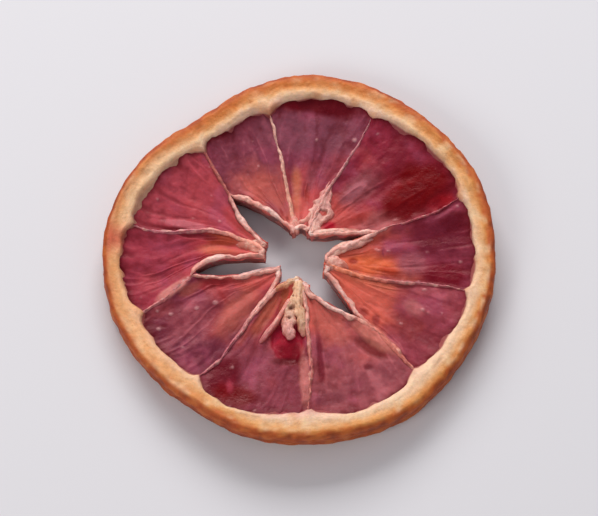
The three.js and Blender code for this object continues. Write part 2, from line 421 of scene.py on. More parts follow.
# The peel is a millimetre thick, with a pore over each oil gland and wrinkles between them.
peel = 1 - smooth(depth, 0.35, 1.0)
gland, _ = cells(x * 1.1, y * 1.1, upward * 2.8)
pore = 1 - smooth(gland, 0.05, 0.5)
wrinkle = sampled(noise.fractal, ring_x * 0.55, ring_y * 0.55, upward * 0.9, 1.0, 2.0, 3)
# Both faces wave gently, and are dished between the peel and the pith's inner edge.
half = RIND_HALF_HEIGHT + 0.12 * face * np.cos(np.radians(6 * (angle - 40 * face)))
dished = 0.15 * hump(depth - 2.1, 1.5) + 0.12 * smooth(depth, 2.6, 4.6)
rough = 0.18 * lumps + 0.12 * sponge + 0.07 * fibres - 0.2 * pits
z = mid_plane(x, y) + half * upward + face * on_top * ((1 - peel) * (rough - dished) - 0.1 * peel)
dimple = peel * (1 - 0.7 * on_top) * (0.06 - 0.2 * pore + 0.22 * wrinkle)
x = x + dimple * np.cos(spread)
y = y + dimple * np.sin(spread)
put_vertices(rind, x, y, z)

# The peel's colour reaches furthest in on the far side and at lower left, and the pith is palest at lower
# right. Painted shade darkens the pith's inner face where the pulp meets it, and painted light brightens the
# inner pith on the far side.
reddened = 0.3 + 0.6 * np.cos(np.radians(angle - 96)) + 0.9 * hump(angle - 238, 26)
in_pith = 1 - peel
by_peel = in_pith * (1 - smooth(depth, 1.8, 3))
inner_face = smooth(0.72 - np.abs(upward), 0, 0.14) * smooth(depth, 2.4, 3.4)


def towards(at, low):
    """1 on the side of the ring at an angle, and 0 where the cosine away from it is under low."""
    return smooth(np.cos(np.radians(angle - at)), low, 1)


tone = ramp(depth - 0.6 * reddened + 0.5 * sponge + 0.35 * lumps, RIND_TONES)
for colour, share in (
    ("#e0964a", 0.45 * smooth(lumps, 0.05, 0.45) * in_pith),
    ("#f4d6ac", 0.45 * smooth(chalk, 0.05, 0.6) * in_pith),
    ("#a85a34", 0.4 * pits * in_pith),
    ("#7c300f", 0.55 * peel * np.maximum(pore * 0.8, smooth(-wrinkle, 0.05, 0.5))),
    ("#d9813c", 0.4 * peel * smooth(wrinkle, 0.1, 0.5)),
    ("#fad0ac", 0.6 * towards(322, 0.5) * smooth(depth, 1.4, 2.6)),
    ("#f4b07c", 0.5 * towards(190, 0.5) * in_pith),
    ("#d87834", 0.6 * towards(104, 0.3) * by_peel),
    ("#d0503e", 0.75 * hump(angle - 175, 7) * in_pith),
    # Painted shade on the pith's inner face, where the pulp meets it
    ("#8c2030", 0.9 * inner_face),
    # Painted light on the far side's inner pith, against the shade of its slope
    ("#fcdcb4", 0.45 * hump(angle - 152, 28) * smooth(depth, 1.0, 2.4)),
):
    tone = stained(tone, colour, share)
paint(rind, "tone", tone)


def mottled_tone(material, mottles, darkest, lightest):
    """The stored tone, darker and lighter in a noise's mottles. Returns the piece's own space, the noise
    and the mottled tone."""
    stored = add_node(material, "ShaderNodeAttribute", {"attribute_name": "tone"})
    space = add_node(material, "ShaderNodeTexCoord").outputs["Object"]
    mottle = add_node(material, "ShaderNodeTexNoise", mottles, {"Vector": space}).outputs["Fac"]
    light_and_dark = add_node(
        material,
        "ShaderNodeMapRange",
        {"From Min": 0.3, "From Max": 0.7, "To Min": darkest, "To Max": lightest},
        {"Value": mottle},
    )
    toned = add_node(
        material,
        "ShaderNodeVectorMath",
        {"operation": "SCALE"},
        {"Vector": stored.outputs["Color"], "Scale": light_and_dark.outputs["Result"]},
    )
    return space, mottle, toned.outputs["Vector"]


pith_and_peel = new_material("dried citrus pith and peel")
# Dried pith is matt, spongy and cream, and the peel round it is a waxy orange full of oil glands. Its mottles
# are 1.1 mm across, and its grain, which the bump shows, is half that.
space, _, toned = mottled_tone(pith_and_peel, {"Scale": 900.0, "Detail": 5.0, "Roughness": 0.65}, 0.84, 1.14)
grain = add_node(
    pith_and_peel,
    "ShaderNodeTexNoise",
    {"Scale": 1800.0, "Detail": 4.0, "Roughness": 0.65},
    {"Vector": space},
)
bump = add_node(
    pith_and_peel,
    "ShaderNodeBump",
    {"Strength": 0.8, "Distance": 0.0002},
    {"Height": grain.outputs["Fac"]},
)
pith_shader = add_node(
    pith_and_peel,
    "ShaderNodeBsdfPrincipled",
    {
        "Roughness": 0.6,
        "Specular IOR Level": 0.35,
        "Subsurface Weight": 0.15,
        "Subsurface Radius": (1.0, 0.6, 0.35),
        "Subsurface Scale": 0.0006,
    },
    {"Base Color": toned, "Normal": bump.outputs["Normal"]},
)
add_node(pith_and_peel, "ShaderNodeOutputMaterial", links={"Surface": pith_shader.outputs["BSDF"]})
rind.data.materials.append(pith_and_peel)
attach(rind, "root")
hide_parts("dried_slice")


# The pulp of the ten segments: juice sacs that dried down to a thin leathery sheet, sunk between its walls.
# The sacs point at the core, so their dried skins leave long pleats and creases that run outwards.
PULP_HALF_HEIGHT = 1.2
PULP_SAG = 0.35
PULP_COLUMNS = 120
PULP_ROWS = 110
# The pulp runs on a little under the rind, and nowhere is its half thickness less than this
UNDER_RIND = 1.05
THINNEST_PULP = 0.15
# Heights in the flesh: pleats, broad folds, the sacs' swell, sharp ridges, fine crumples, blisters, and the
# depth of the tears where it shrank from the pith
PLEAT = 0.13
FOLD = 0.27
SWELL = 0.09
RIDGE = 0.16
CRUMPLE = 0.08
BLISTER = 0.14
TEAR = 0.14
# The colour of painted shade in the pulp's hollows and by the pith, and of the painted highlight on its
# crests
PULP_SHADE = "#5c0410"
PULP_HIGHLIGHT = "#cf8488"
# Tone of each segment near the core and near the rind
SEGMENT_TONES = (
    ("#bc4e48", "#8a2438"),
    ("#bc4a4c", "#80384a"),
    ("#bc5a50", "#7c3646"),
    ("#b94648", "#ae4450"),
    ("#bb4243", "#a13848"),
    ("#bc4846", "#6c2739"),
    ("#ca4840", "#8c3e4c"),
    ("#c6564c", "#9e4e56"),
    ("#d05a44", "#943c48"),
    ("#d05c3c", "#8e3548"),
)

# Places where the flesh is another colour, or sinks in: the middle, half the length and width, how far the
# length is turned from +X, how strong the colour is, how far the flesh sinks and how soft the edge is
# A few of the stains are painted shadow, shade and sheen, marked below.
Stain = namedtuple("Stain", "x y long wide turn colour strength sink blur", defaults=(0, 0.32))
STAIN_EDGE = 0.82
# Stains whose linear red is less than this are dark, wet flesh
DARK_RED = 0.2
STAINS = (
    Stain(12.2, -1.5, 4.4, 1.9, -8, "#dc6840", 0.85, 0, 0.45),
    Stain(16.2, -3.2, 3.2, 1.4, -8, "#cc6450", 0.6, 0, 0.45),
    Stain(14.4, -2.5, 1.8, 0.8, -15, "#b4381c", 0.75, 0, 0.4),
    Stain(12.0, -4.6, 4.2, 1.5, -14, "#d46e52", 0.75, 0, 0.4),
    Stain(11.4, -7.5, 5.4, 3.0, -25, "#d26252", 0.85, 0, 0.4),
    Stain(8.4, 0.7, 3.4, 0.9, 14, "#983c34", 0.75, 0.1, 0.4),
    Stain(8.7, -0.8, 0.9, 0.6, 0, "#8c1c10", 0.8, 0.08, 0.4),
    Stain(10.4, -9.4, 0.9, 0.7, -40, "#842420", 0.65, 0.08, 0.45),
    Stain(12.3, -10.8, 0.6, 1.0, 0, "#7c2028", 0.65, 0.08, 0.45),
    Stain(11.0, -18.8, 0.9, 0.6, 0, "#601420", 0.8, 0.08, 0.4),
    Stain(12.6, 5.8, 4.4, 2.2, 22, "#bc6c6c", 0.6),
    Stain(-0.4, 11.8, 4.6, 0.9, 92, "#c4704c", 0.6, 0, 0.5),
    Stain(0.6, 8.8, 2.0, 0.8, 90, "#d4645c", 0.5, 0, 0.5),
    Stain(1.3, 10.9, 2.0, 0.6, 85, "#942c1c", 0.6, 0.05, 0.5),
    Stain(2.0, 13.4, 2.4, 0.9, 85, "#98505c", 0.5, 0, 0.5),
    Stain(-2.7, 7.4, 1.2, 0.4, 110, "#8c2420", 0.7, 0.08, 0.4),
    Stain(-1.9, 6.3, 0.8, 0.3, 100, "#8c2420", 0.6, 0.08, 0.4),
    Stain(18.8, 11.0, 7.5, 5.5, 30, "#6c0006", 1.0),
    Stain(22.8, 8.8, 2.8, 1.6, 40, "#98101c", 0.7),
    Stain(10.0, 12.0, 4.5, 3.0, 40, "#86424a", 0.75),
    # Painted sheen: a pale mauve patch standing in for light on the flesh
    Stain(9.2, 11.5, 2.8, 1.1, 42, "#a8606c", 0.6, -0.05, 0.45),
    Stain(7.4, 13.6, 2.2, 0.8, 25, "#781c2c", 0.7, 0.05, 0.4),
    Stain(10.2, 6.7, 1.7, 1.0, 30, "#9c3028", 0.6, 0.05, 0.45),
    Stain(1.4, 21.0, 9.0, 4.5, 0, "#74404e", 0.6),
    # Painted shadow of the rind on the pulp inside its far edge
    Stain(3.5, 26.0, 8.5, 2.2, -8, "#5c0210", 0.95),
    Stain(-12.0, -20.5, 4.5, 3.0, 50, "#64081a", 0.9),
    Stain(-10.0, -23.9, 4.6, 2.3, -8, "#6a0008", 1.0),
    Stain(-10.9, -22.2, 0.6, 1.3, 10, "#a43a4c", 0.6, 0, 0.45),
    Stain(24.6, 5.8, 2.4, 2.0, 20, "#50040e", 0.85),
    # Painted sheen: a pink patch standing in for light on the flesh
    Stain(18.3, -8.6, 2.4, 1.5, -20, "#bc6c6c", 0.55),
    # Painted shadow of the rind on the pulp inside its near edge, in this stain and the next
    Stain(10.5, -21.6, 7.5, 2.2, 26, "#7c3640", 0.55),
    Stain(4.5, -24.2, 3.4, 1.4, 10, "#6c2c38", 0.6),
    Stain(24.0, -3.4, 4.5, 2.4, 170, "#740820", 0.95),
    Stain(22.5, 3.5, 6.0, 4.5, 10, "#68182a", 0.9),
    Stain(18.0, -1.0, 2.6, 2.6, 0, "#98505c", 0.7),
    Stain(13.5, 0.9, 0.3, 1.1, 0, "#7c2c40", 0.7, 0.1, 0.4),
    Stain(-9.6, -9.0, 5.2, 2.6, 62, "#bc6054", 0.7, 0, 0.4),
    Stain(-7.9, -12.4, 4.2, 0.8, 56, "#9c4038", 0.7, 0, 0.4),
    Stain(-14.0, -4.7, 3.8, 0.9, 8, "#94242c", 0.8, 0.1, 0.25),
    Stain(-12.9, -6.2, 2.4, 0.5, -42, "#8c2024", 0.7, 0.06, 0.35),
    Stain(-17.4, -9.6, 5.5, 4.0, 40, "#8c3c46", 0.6),
    Stain(-12.0, 2.8, 3.4, 1.0, 168, "#a04028", 0.85, 0.05, 0.35),
    Stain(-13.0, 1.0, 3.4, 1.0, 172, "#cc6c54", 0.7, 0, 0.45),
    # A sunk furrow below a wall, darkened with painted shade
    Stain(-18.0, 3.9, 5.0, 0.7, 170, "#84202e", 0.8, 0.25),
    Stain(-7.6, 5.6, 2.6, 0.8, 125, "#86201c", 0.8, 0.3),
    Stain(4.8, 5.2, 1.5, 0.9, 8, "#a80e28", 0.95, 0.1),
    Stain(-5.2, -9.6, 5.2, 1.3, 59, "#ac5442", 0.9, 0.3),
    Stain(-2.3, -6.2, 1.4, 0.7, 75, "#a05038", 0.85, 0.15),
    Stain(-2.6, -8.0, 1.6, 0.5, 68, "#b06048", 0.7, 0.1),
    Stain(11.6, -15.6, 4.2, 1.1, -29, "#7c2a2c", 0.9, 0.3),
    Stain(-1.5, -14.6, 4.1, 3.1, 90, "#a61630", 1.0, 0.45, 0.16),
    Stain(-0.9, -16.4, 2.2, 2.9, 90, "#78061a", 0.9, 0, 0.4),
    Stain(-3.4, -13.2, 1.6, 0.6, 65, "#a41c36", 0.9, 0.1, 0.3),
    Stain(-1.9, -17.8, 3.0, 0.8, 0, "#561018", 0.85, 0.05, 0.35),
    Stain(3.4, -17.0, 5.0, 0.7, 95, "#741c2c", 0.85, 0.2),
    Stain(5.0, -11.2, 5.0, 2.4, -60, "#bc6258", 0.6, 0, 0.4),
    Stain(12.1, -13.7, 5.4, 1.5, -37, "#c87466", 0.7, -0.15, 0.3),
    Stain(0.9, -20.5, 6.5, 1.0, -88, "#c87870", 0.65, -0.1, 0.3),
    Stain(-17.4, -5.5, 2.4, 1.1, 32, "#c0665e", 0.75, -0.1, 0.4),
    Stain(-22.2, -9.0, 3.2, 1.6, 30, "#9a464c", 0.7),
    Stain(-23.8, -4.2, 2.6, 2.2, 0, "#b84c54", 0.5),
    Stain(-20.0, -5.6, 3.6, 1.0, 36, "#d48880", 0.8, -0.12, 0.3),
    Stain(-21.5, -11.8, 0.7, 0.5, 0, "#5c1020", 0.8, 0.08, 0.4),
    Stain(-18.5, 5.4, 4.5, 0.8, -8, "#c8707a", 0.6, -0.1, 0.2),
)
# Small raised blisters, each painted pale as a glint
GLINT_BLISTERS = (
    (12.8, 1.0), (14.3, 0.9), (16.3, -11.3), (19.7, -9.1), (20.0, -5.8), (-13.3, -7.8), (-16.3, -8.8),
    (-20.5, -9.7), (-22.3, -12.3), (-17.0, 6.5), (15.5, 6.2), (-10.6, -18.9), (9.0, 20.0),
)


def thick_sheet(name, columns, rows):
    """A closed square sheet, whose vertices all get new places. Returns it with each vertex's share from
    its right edge, its share outwards, and its face: 1 on top and -1 underneath."""
    bpy.ops.object.select_all(action="DESELECT")
    bpy.ops.mesh.primitive_grid_add(x_subdivisions=columns, y_subdivisions=rows, size=2)
    sheet = bpy.context.object
    sheet.name = name
    thickness = sheet.modifiers.new("thickness", "SOLIDIFY")
    thickness.thickness = 0.1
    thickness.offset = 0
    bpy.ops.object.modifier_apply(modifier=thickness.name)
    places = vertex_places(sheet)
    return sheet, (1 - places[:, 0]) / 2, (1 + places[:, 1]) / 2, np.sign(places[:, 2])


def pulp_sag(index, across, out, face):
    """Half height of the pulp: sagged between its walls and pleated along its sacs."""
    pleat = 2.5 * across + 0.37 * index + 0.8 * out * face
    sag = PULP_SAG * np.sin(np.pi * across) * np.sin(np.pi * np.clip(out, 0, 1))
    return PULP_HALF_HEIGHT - sag + PLEAT * np.sin(2 * np.pi * pleat)


def pulp_tone(index, x, y, out, edge):
    """The flesh's colour: brighter by the core, wine and mauve outside, and stained in places, some stains
    being painted shadow, shade and sheen. With it come how far the stained places sink and how dark they are."""
    inner, outer = [np.array(linear(tone)) for tone in SEGMENT_TONES[index]]
    drift = sampled(noise.fractal, x * 0.2, y * 0.2, 3.0 + index, 1.0, 2.0, 3)
    tone = lerp(inner, outer, smooth(out + 0.3 * drift, 0.1, 0.8)[:, None])
    tone = stained(tone, "#a84c66", 0.4 * smooth(drift, 0.1, 0.6))
    by_tip = 0.45 * (1 - smooth(out, 0.05, 0.4)) * (0.4 + 0.6 * np.exp(-edge / 1.2))
    tone = stained(tone, "#e08478", by_tip)
    sink = 0
    dark = 0
    for stain in STAINS:
        away = (x - stain.x + 1j * (y - stain.y)) * np.exp(-1j * np.radians(stain.turn))
        reach = np.hypot(away.real / stain.long, away.imag / stain.wide) + 0.35 * drift
        share = 1 - smooth(reach, STAIN_EDGE - stain.blur, STAIN_EDGE + stain.blur)
        tone = stained(tone, stain.colour, stain.strength * share)
        sink = sink + stain.sink * share
        dark = np.maximum(dark, share * (linear(stain.colour)[0] < DARK_RED))
    return tone, sink, dark


leathery_pulp = new_material("dried citrus pulp")
# Dried pulp is a dark, half clear gel behind a thin skin: it is glossy on the sacs and dull in the creases.
# Its speckles are 1.7 mm across, and its grain 0.7 mm.
speckles = {"Scale": 600.0, "Detail": 5.0, "Roughness": 0.6}
space, speckle, toned = mottled_tone(leathery_pulp, speckles, 0.93, 1.17)
grain = add_node(
    leathery_pulp,
    "ShaderNodeTexNoise",
    {"Scale": 1500.0, "Detail": 3.0, "Roughness": 0.6},
    {"Vector": space},
)
bump = add_node(
    leathery_pulp,
    "ShaderNodeBump",
    {"Strength": 0.5, "Distance": 0.00018},
    {"Height": grain.outputs["Fac"]},
)
gloss = add_node(
    leathery_pulp,
    "ShaderNodeMapRange",
    {"From Min": 0.35, "From Max": 0.65, "To Min": 0.34, "To Max": 0.56},
    {"Value": speckle},
)
# Dark flesh and blisters are a little smoother than the rest.
wet = add_node(leathery_pulp, "ShaderNodeAttribute", {"attribute_name": "wet"})
wet_gloss = add_node(
    leathery_pulp,
    "ShaderNodeMath",
    {"operation": "MULTIPLY_ADD", 1: -0.08},
    {0: wet.outputs["Fac"], 2: gloss.outputs["Result"]},
)
pulp_shader = add_node(
    leathery_pulp,
    "ShaderNodeBsdfPrincipled",
    {
        "Specular IOR Level": 0.2,
        "Specular Tint": (1.0, 0.5, 0.5, 1.0),
        "Subsurface Weight": 0.2,
        "Subsurface Radius": (1.0, 0.2, 0.15),
        "Subsurface Scale": 0.001,
    },
    {
        "Base Color": toned,
        "Roughness": wet_gloss.outputs["Value"],
        "Normal": bump.outputs["Normal"],
    },
)
add_node(leathery_pulp, "ShaderNodeOutputMaterial", links={"Surface": pulp_shader.outputs["BSDF"]})

for index in range(SEGMENTS):
    pulp, across, out, face = thick_sheet(f"pulp_{index + 1}", PULP_COLUMNS, PULP_ROWS)
    out = UNDER_RIND * out
    x, y, height, angle, width = in_segment(index, across, out)
    seed = 11.3 * index + 4 * face
    edge = np.minimum(across, 1 - across) * width
    from_pith = np.maximum(pith_distance(angle, across) - np.hypot(x, y), 0)
    # Juice sacs with creases between them, broad folds, sharp ridges in groups and fine crumples
    wander = sampled(noise.noise, across * 3, out * 2, seed)
    _, crease = cells(across * 6 + 0.8 * wander, out * 2.2 + 0.5 * wander, seed)
    sac = smooth(crease, 0, 0.5)
    folds = sampled(noise.noise, across * 3.4, out * 1.8, seed + 50)
    crests = sampled(noise.noise, across * 8 + wander, out * 2.6, seed + 70)
    ridge = (1 - np.minimum(3 * np.abs(crests), 1)) ** 2
    grouped = smooth(sampled(noise.noise, across * 2.5, out * 2.5, seed + 90), -0.1, 0.4)
    crumple = sampled(noise.fractal, x * 0.8, y * 0.8, seed + 20, 0.9, 2.1, 4)
    # Puckers along the walls, and tears by the pith
    pucker = sampled(noise.noise, x * 0.5, y * 0.5, seed + 30)
    torn = smooth(sampled(noise.noise, angle * 0.3, 0, seed + 40), -0.1, 0.5) * np.exp(-from_pith / 1.3)
    tone, sink, dark = pulp_tone(index, x, y, out, edge)

    # The relief dies away at the walls, in the narrow tip and in dark, wet flesh. The flesh climbs a little
    # where it meets the pith, and thins at the hole.
    calm = smooth(edge, 0, 0.7) * smooth(width, 1.5, 8) * (1 - 0.6 * dark)
    half = pulp_sag(index, across, out, face) + (0.04 + 0.35 * pucker) * np.exp(-edge / 0.9)
    relief = FOLD * folds + SWELL * (sac - 1) + RIDGE * ridge * grouped + CRUMPLE * crumple
    half = half + calm * relief
    half = half + np.where(face > 0, 0.4, 0.1) * np.exp(-from_pith / 0.9) - TEAR * torn
    at_hole = 1 - smooth(out, 0, 0.12)
    speck, _ = cells(x * 0.36, y * 0.36, seed)
    glint_blister = (1 - smooth(speck, 0.02, 0.13)) * smooth(pucker, 0, 0.25)
    for blister_x, blister_y in GLINT_BLISTERS:
        away = np.hypot(x - blister_x, 1.4 * (y - blister_y))
        glint_blister = np.maximum(glint_blister, 1 - smooth(away + 0.3 * crumple, 0.1, 0.55))
    half = half - np.where(face > 0, sink, 0.5 * at_hole) + BLISTER * glint_blister
    put_vertices(pulp, x, y, height + face * np.maximum(half, THINNEST_PULP))

    # Hollows get painted shade, and crests get painted light and a pale painted highlight.
    relief_light_and_shade = 1.1 * folds + 0.7 * (sac - 0.7) + 0.7 * ridge * grouped + 0.55 * crumple
    relief_light_and_shade = (relief_light_and_shade + 0.9 * pucker * np.exp(-edge / 1.2)) * lerp(0.25, 1, smooth(width, 4, 16))
    tone = stained(tone, PULP_SHADE, 0.44 * smooth(-relief_light_and_shade, 0.05, 0.8))
    tone = tone * (1 + 0.3 * smooth(relief_light_and_shade, 0.1, 0.9)[:, None])
    tone = stained(tone, PULP_HIGHLIGHT, 0.2 * smooth(relief_light_and_shade, 0.1, 1.0) * (1 - dark))
    # Painted shade along the pulp's edge under the rind and in its tears
    tone = stained(tone, PULP_SHADE, np.minimum(0.9 * np.exp(-from_pith / 0.6) + 0.55 * torn, 0.92))
    # The blisters' pale colour is a painted glint.
    tone = stained(tone, "#e8b0b0", 0.4 * glint_blister)
    paint(pulp, "tone", tone)
    paint(pulp, "wet", np.maximum(dark, glint_blister))
    pulp.data.materials.append(leathery_pulp)
    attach(pulp, "root")
    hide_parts("dried_slice")


# The walls: each segment's own thin skin, which stands on edge round its pulp. Where two segments are still
# joined, two skins lie back to back as one pale line, and along a split each stays with its own segment.
SKIN_STEPS = 420
SKIN_ROWS = 14
SKIN_HALF_HEIGHT = 1.55
# The skins run on further under the rind than the pulp does
SKIN_UNDER_RIND = 1.07
# Points along each wall and round the tip, from which an even path is taken, and over how many of its own
# points that path is averaged
PATH_STEPS = 300
TIP_STEPS = 60
PATH_SMOOTHING = 11
LIP_HALF_THICKNESS = 0.48
# How far a lip is buckled sideways, and how high the fibres stand on a skin's faces and on its crests
BUCKLE = 0.18
FACE_FIBRE = 0.07
CREST_FIBRE = 0.06
# Distances between which a wall goes over from its inner tone and thickness to its outer ones, and between
# which it thins out towards the rind
INNER_TO_OUTER = (9, 19)
THINNED = (21, 27)
LIP_TONES = ((-0.4, "#e8988a"), (0.0, "#f0aea2"), (0.4, "#f4c8be"))
# The tone and the half thickness of each wall, near the core and near the rind
WallLook = namedtuple("WallLook", "core_tone rim_tone core_half rim_half")
WALL_LOOKS = (
    WallLook("#f0b0a4", "#b85460", 0.24, 0.14),
    WallLook("#eaa298", "#c47a80", 0.2, 0.15),
    WallLook("#f0a48e", "#e6aa9c", 0.22, 0.18),
    WallLook("#d88078", "#b8645c", 0.18, 0.18),
    WallLook("#f8a08c", "#c8747e", 0.26, 0.22),
    WallLook("#ea968a", "#d07c7c", 0.26, 0.3),
    WallLook("#f8b0a4", "#c06a74", 0.3, 0.2),
    WallLook("#e8a294", "#cc7068", 0.22, 0.26),
    WallLook("#ec9484", "#dc7a6c", 0.26, 0.3),
    WallLook("#ea8262", "#b8646a", 0.28, 0.18),
)

papery_skin = new_material("dried segment skin")
# The dried skin is papery and half clear: cream where it is thick, and rosy where the pulp shows through. Its
# streaks are 1.1 mm across.
_, streaks, toned = mottled_tone(papery_skin, {"Scale": 900.0, "Detail": 4.0, "Roughness": 0.6}, 0.8, 1.15)
bump = add_node(
    papery_skin,
    "ShaderNodeBump",
    {"Strength": 0.4, "Distance": 0.00015},
    {"Height": streaks},
)
skin_shader = add_node(
    papery_skin,
    "ShaderNodeBsdfPrincipled",
    {
        "Roughness": 0.45,
        "Specular IOR Level": 0.35,
        "Subsurface Weight": 0.25,
        "Subsurface Radius": (1.0, 0.4, 0.3),
        "Subsurface Scale": 0.0008,
    },
    {"Base Color": toned, "Normal": bump.outputs["Normal"]},
)
add_node(papery_skin, "ShaderNodeOutputMaterial", links={"Surface": skin_shader.outputs["BSDF"]})


def averaged(values, count):
    """Each value's mean with its neighbours, count of them in all, with the end values held."""
    held = [values[0]] * (count // 2), values, [values[-1]] * (count // 2)
    return np.convolve(np.concatenate(held), np.ones(count) / count, "valid")


def skin_path(index):
    """Evenly along a segment's edge, in along its right wall, round its tip and out along its left wall:
    x, y, mid-plane height, nearness to the hole, share across the tip, and length so far."""
    inwards = np.linspace(SKIN_UNDER_RIND, 0, PATH_STEPS)
    round_tip = np.linspace(0, 1, TIP_STEPS)[1:-1]
    across = np.concatenate([np.zeros(PATH_STEPS), round_tip, np.ones(PATH_STEPS)])
    out = np.concatenate([inwards, np.zeros(len(round_tip)), inwards[::-1]])
    x, y, height, _, _ = in_segment(index, across, out)
    right_split = WALLS[index].split is not None
    left_split = WALLS[(index + 1) % SEGMENTS].split is not None
    on_split = np.where(across < 0.5, right_split, left_split)
    past_split = smooth(INNER_SHARE + 0.03 - out, -0.03, 0.04)
    past_tip = smooth(0.05 - out, -0.02, 0.03)
    at_hole = np.where(on_split, past_split, past_tip)
    steps = np.hypot(np.diff(x), np.diff(y))
    length = np.concatenate([[0], np.cumsum(steps)])
    even = np.linspace(0, length[-1], SKIN_STEPS)
    x, y, height, at_hole, across = [
        np.interp(even, length, value) for value in (x, y, height, at_hole, across)
    ]
    x, y, height = [averaged(value, PATH_SMOOTHING) for value in (x, y, height)]
    return x, y, height, at_hole, across, even


for index in range(SEGMENTS):
    skin, along, up, face = thick_sheet(f"skin_{index + 1}", SKIN_STEPS - 1, SKIN_ROWS)
    path_x, path_y, path_z, at_hole, across, mark = skin_path(index)
    step = np.clip(np.round((1 - along) * (SKIN_STEPS - 1)).astype(int), 0, SKIN_STEPS - 1)
    run_x = np.gradient(path_x)
    run_y = np.gradient(path_y)
    run = np.hypot(run_x, run_y)
    right_x = run_y / run
    right_y = -run_x / run
    # The rows are closer together towards the two crests.
    height = 2 * up - 1
    height = np.sign(height) * (1 - (1 - np.abs(height)) ** 2.2)

    # Each wall has its own tones and thickness, and both change from the core outwards. Here and there it is
    # too thin to show.
    far = np.hypot(path_x, path_y)
    outward = smooth(far, *INNER_TO_OUTER)
    to_left = smooth(across, 0.3, 0.7)
    right = WALL_LOOKS[index]
    left = WALL_LOOKS[(index + 1) % SEGMENTS]
    inner_half = lerp(right.core_half, left.core_half, to_left)
    outer_half = lerp(right.rim_half, left.rim_half, to_left)
    seed = index * 5.1
    waver = sampled(noise.noise, mark * 0.4, seed, 0)
    lumpy = sampled(noise.noise, mark * 1.1, seed, 9)
    faint = smooth(sampled(noise.noise, mark * 0.22, seed, 17), 0.05, 0.45)
    faint = faint * (1 - at_hole) * smooth(outward, 0, 0.5)
    bulk = lerp(inner_half, outer_half, outward) * (1 - 0.5 * smooth(far, *THINNED))
    bulk = lerp(bulk, LIP_HALF_THICKNESS, at_hole) * (1 + lerp(0.3, 0.6, at_hole) * waver)
    bulk = bulk + lerp(0.05, 0.12, at_hole) * lumpy
    crest = SKIN_HALF_HEIGHT + 0.16 * waver + 0.1 * lumpy + 0.1 * at_hole - 0.15 * faint
    # A lip is rounded on both faces. Joined skins touch along their inner faces, and share one crest.
    body = (1 - np.abs(height) ** 4) ** 0.5
    lip_side = 0.9 + face * (0.95 * body + 0.05)
    joined_side = np.where(face > 0, 1.9 * body + 0.05, -0.05)
    aside = bulk[step] * lerp(joined_side, lip_side, at_hole[step])
    x = path_x[step] + right_x[step] * aside
    y = path_y[step] + right_y[step] * aside
    # A lip is buckled, and the whole skin is fibrous along its length.
    buckled = BUCKLE * sampled(noise.noise, 0.5 * mark[step], 1.4 * height, 7.0 * index) * at_hole[step]
    x = x + right_x[step] * buckled
    y = y + right_y[step] * buckled
    reach = np.where(height > 0, crest[step], crest[step] - 0.55 * at_hole[step])
    z = path_z[step] + height * reach
    fibre = sampled(noise.fractal, mark[step] * 1.2, height * 3 + 2 * face, seed, 0.8, 2.2, 4)
    x = x + FACE_FIBRE * fibre * face * right_x[step]
    y = y + FACE_FIBRE * fibre * face * right_y[step]
    put_vertices(skin, x, y, z + CREST_FIBRE * fibre * height)

    # The skin's own tone, lighter on its lumps and redder where it is worn thin, with painted shade in the
    # middle of its edge, where it meets the flesh
    right_tones = np.array([linear(right.core_tone), linear(right.rim_tone)])
    left_tones = np.array([linear(left.core_tone), linear(left.rim_tone)])
    core_tone, rim_tone = [lerp(*pair, to_left[:, None]) for pair in zip(right_tones, left_tones)]
    tone = lerp(core_tone, rim_tone, outward[:, None])
    drift = sampled(noise.noise, mark * 0.3, seed, 31)
    lip = ramp(drift, LIP_TONES)
    tone = lerp(tone, lip, 0.9 * at_hole[:, None])
    tone = stained(tone, "#f8c4b2", 0.4 * smooth(lumpy + 0.5 * waver, 0.1, 0.6))
    worn = np.maximum(faint, smooth(-lumpy - 0.5 * waver, 0.2, 0.8)) * (1 - 0.6 * at_hole)
    tone = stained(tone, "#9a3f4c", 0.35 * worn)
    # Painted shade along the middle of the skin's edge, where it meets the flesh
    tone = stained(tone[step], "#64101a", 0.85 * (1 - smooth(np.abs(height), 0.66, 0.9)))
    tone = tone * (1 + 0.35 * np.clip(fibre, -1, 1)[:, None])
    paint(skin, "tone", tone)
    skin.data.materials.append(papery_skin)
    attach(skin, "root")
    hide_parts("dried_slice")


# Shreds of the core: the soft pith that held the segments together tore as the slice dried. It is left as
# pale tongues, an arch and a patch on the inner ends of the segments. A fold of segment skin stands beside
# them, and skin curled and dried thick on the segments' tips and along their lips.
SHRED_STEPS = 110
SHRED_COLUMNS = 26
SHRED_DEPTH = 0.7
# How far a shred's borders lie under the face of the pulp
SHRED_ROOT = 0.35
HOLE_DEPTH = 0.4
# The segments' tips curl up from this far out, over this length
CURL_START = 13
CURL_LENGTH = 9
# Points along a shred's path, and over how many of them its corners are rounded
PATH_POINTS = 200
CORNER_ROUNDING = 41

